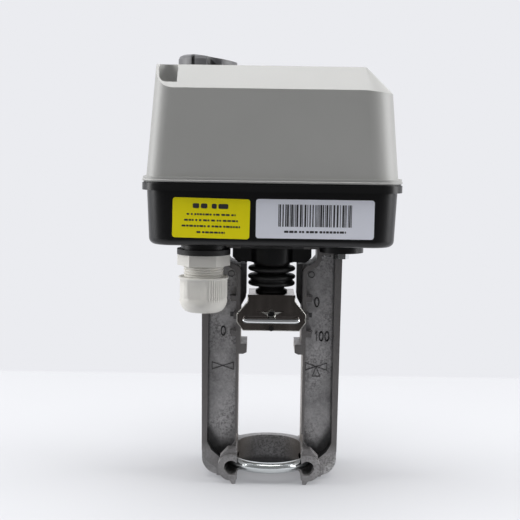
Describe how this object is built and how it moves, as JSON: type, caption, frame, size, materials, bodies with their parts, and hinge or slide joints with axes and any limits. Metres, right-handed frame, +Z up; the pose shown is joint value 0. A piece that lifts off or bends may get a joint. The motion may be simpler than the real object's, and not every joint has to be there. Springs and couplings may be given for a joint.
{
  "type": "motorised valve actuator head",
  "caption": "Electric linear actuator head for a heating valve: black base, grey cover with hand knob, cast yoke with clamp collar, bellows, stem bracket, cable gland and geared motor inside.",
  "frame": {"origin": "on the axis of the collar bore, at the collar's lower face", "axes": "+X to the right, -Y the front with the two labels, +Z up along the stem towards the cover"},
  "size_m": [0.1335, 0.107, 0.229],
  "materials": {
    "cast": "rough sand-cast, mottled dark grey",
    "zinc": "bright zinc plate",
    "sheet_steel": "polished dark sheet steel",
    "screw_steel": "machined",
    "black_plastic": "semi-gloss black",
    "cover_plastic": "satin light grey",
    "knob_plastic": "satin dark grey",
    "gland_plastic": "satin warm grey",
    "rubber": "satin black",
    "bronze": "plain bearing bronze",
    "gear_brass": "machined",
    "gear_nylon": "natural acetal",
    "motor_steel": "satin",
    "board_green": "solder mask",
    "terminal_green": "moulded",
    "component_black": "moulded",
    "component_white": "moulded",
    "light_lens": "tinted",
    "yellow_paper": "printed yellow film",
    "white_paper": "printed white film"
  },
  "bodies": {
    "frame": {"yoke": "cast", "base_housing": "black_plastic", "base_gasket": "rubber", "yoke_screws": "zinc", "gland_ring": "rubber", "gland_body": "gland_plastic", "gland_seal": "rubber", "gland_locknut": "gland_plastic", "blanking_plug": "black_plastic", "plug_screw": "zinc", "bellows": "rubber", "bellows_clamp": "black_plastic", "clamp_screws": "zinc", "guide_bush": "bronze", "bearing_lower": "bronze", "bearing_upper": "bronze", "axle_first": "screw_steel", "axle_second": "screw_steel", "motor_stator": "motor_steel", "motor_screws": "zinc", "manual_stub": "screw_steel", "gear_plate_lower": "sheet_steel", "gear_plate_upper": "sheet_steel", "pillars": "screw_steel", "pillar_screws": "zinc", "guide_rod": "screw_steel", "limit_switch_lower": "component_black", "limit_switch_upper": "component_black", "switch_bracket": "sheet_steel", "position_sensor": "component_black", "circuit_board": "board_green", "standoffs": "screw_steel", "terminal_block": "terminal_green", "relays": "component_black", "motor_capacitor": "component_white", "dip_switch": "component_white", "status_lights": "light_lens", "warning_label": "yellow_paper", "rating_label": "white_paper"},
    "stem": {"lead_screw": "screw_steel", "coupling_bracket": "sheet_steel", "stem_nut": "zinc", "bracket_pins": "black_plastic", "guide_arm": "cast"},
    "clip": {"stem_clip": "zinc"},
    "drive": {"drive_gear": "gear_brass"},
    "second": {"gear_second": "gear_nylon"},
    "first": {"gear_first": "gear_nylon"},
    "rotor": {"motor_rotor": "screw_steel"},
    "manual": {"manual_gear": "gear_nylon"},
    "cover": {"cover": "cover_plastic", "cover_screws": "zinc", "knob_spring": "screw_steel"},
    "knob_carrier": {"thrust_washer": "screw_steel"},
    "knob": {"knob": "knob_plastic", "knob_shaft": "screw_steel"},
    "clamp_bolt": {"u_bolt": "zinc"},
    "nut_left": {"clamp_nut_left": "zinc"},
    "nut_right": {"clamp_nut_right": "zinc"},
    "cap": {"gland_nut": "gland_plastic"}
  },
  "joints": [
    {"name": "rotor_spin", "type": "hinge", "parent": "frame", "child": "rotor", "pos_m": [0.03087, 0.02721, 0.16], "axis": [0, 0, 1], "range_deg": [-69300, 69300]},
    {"name": "first_spin", "type": "hinge", "parent": "frame", "child": "first", "pos_m": [0.03718, 0.00364, 0.15], "axis": [0, 0, 1], "range_deg": [-22700, 22700]},
    {"name": "second_spin", "type": "hinge", "parent": "frame", "child": "second", "pos_m": [0.02498, -0.01749, 0.15], "axis": [0, 0, 1], "range_deg": [-7400, 7400]},
    {"name": "drive_spin", "type": "hinge", "parent": "frame", "child": "drive", "pos_m": [0, 0, 0.144], "axis": [0, 0, 1], "range_deg": [-2400, 2400]},
    {"name": "manual_spin", "type": "hinge", "parent": "frame", "child": "manual", "pos_m": [-0.03594, -0.002, 0.144], "axis": [0, 0, 1], "range_deg": [-4280, 4280]},
    {"name": "stem_slide", "type": "slide", "parent": "frame", "child": "stem", "axis": [0, 0, 1], "range_m": [-0.01001, 0.01001], "deforming": ["bellows"]},
    {"name": "clip_slide", "type": "slide", "parent": "stem", "child": "clip", "axis": [0, -1, 0], "range_m": [0, 0.012]},
    {"name": "cover_lift", "type": "slide", "parent": "frame", "child": "cover", "axis": [0, 0, 1], "range_m": [0, 0.1]},
    {"name": "knob_press", "type": "slide", "parent": "cover", "child": "knob_carrier", "axis": [0, 0, -1], "range_m": [0, 0.0025], "stiffness_N_per_m": 1500, "springref_m": -0.002, "deforming": ["knob_spring"]},
    {"name": "knob_turn", "type": "hinge", "parent": "knob_carrier", "child": "knob", "pos_m": [-0.03594, -0.002, 0.222], "axis": [0, 0, 1], "continuous": true},
    {"name": "nut_left_turn", "type": "hinge", "parent": "frame", "child": "nut_left", "pos_m": [-0.0205, 0.0265, 0.0087], "axis": [0, 1, 0], "range_deg": [-1445, 5]},
    {"name": "nut_right_turn", "type": "hinge", "parent": "frame", "child": "nut_right", "pos_m": [0.0205, 0.0265, 0.0087], "axis": [0, 1, 0], "range_deg": [-1445, 5]},
    {"name": "bolt_draw", "type": "slide", "parent": "frame", "child": "clamp_bolt", "axis": [0, 1, 0], "range_m": [0, 0.004]},
    {"name": "cap_turn", "type": "hinge", "parent": "frame", "child": "cap", "pos_m": [-0.036, -0.027, 0.105], "axis": [0, 0, 1], "range_deg": [-360, 360]}
  ],
  "couplings": [
    {"joint": "rotor_spin", "follows": "drive_spin", "ratio": -28.84},
    {"joint": "first_spin", "follows": "drive_spin", "ratio": 9.4044},
    {"joint": "second_spin", "follows": "drive_spin", "ratio": -3.0667},
    {"joint": "manual_spin", "follows": "drive_spin", "ratio": -1.7692},
    {"joint": "stem_slide", "follows": "drive_spin", "m_per_rad": -0.00023873},
    {"joint": "nut_left_turn", "follows": "bolt_draw", "rad_per_m": -6283.2},
    {"joint": "nut_right_turn", "follows": "bolt_draw", "rad_per_m": -6283.2}
  ]
}
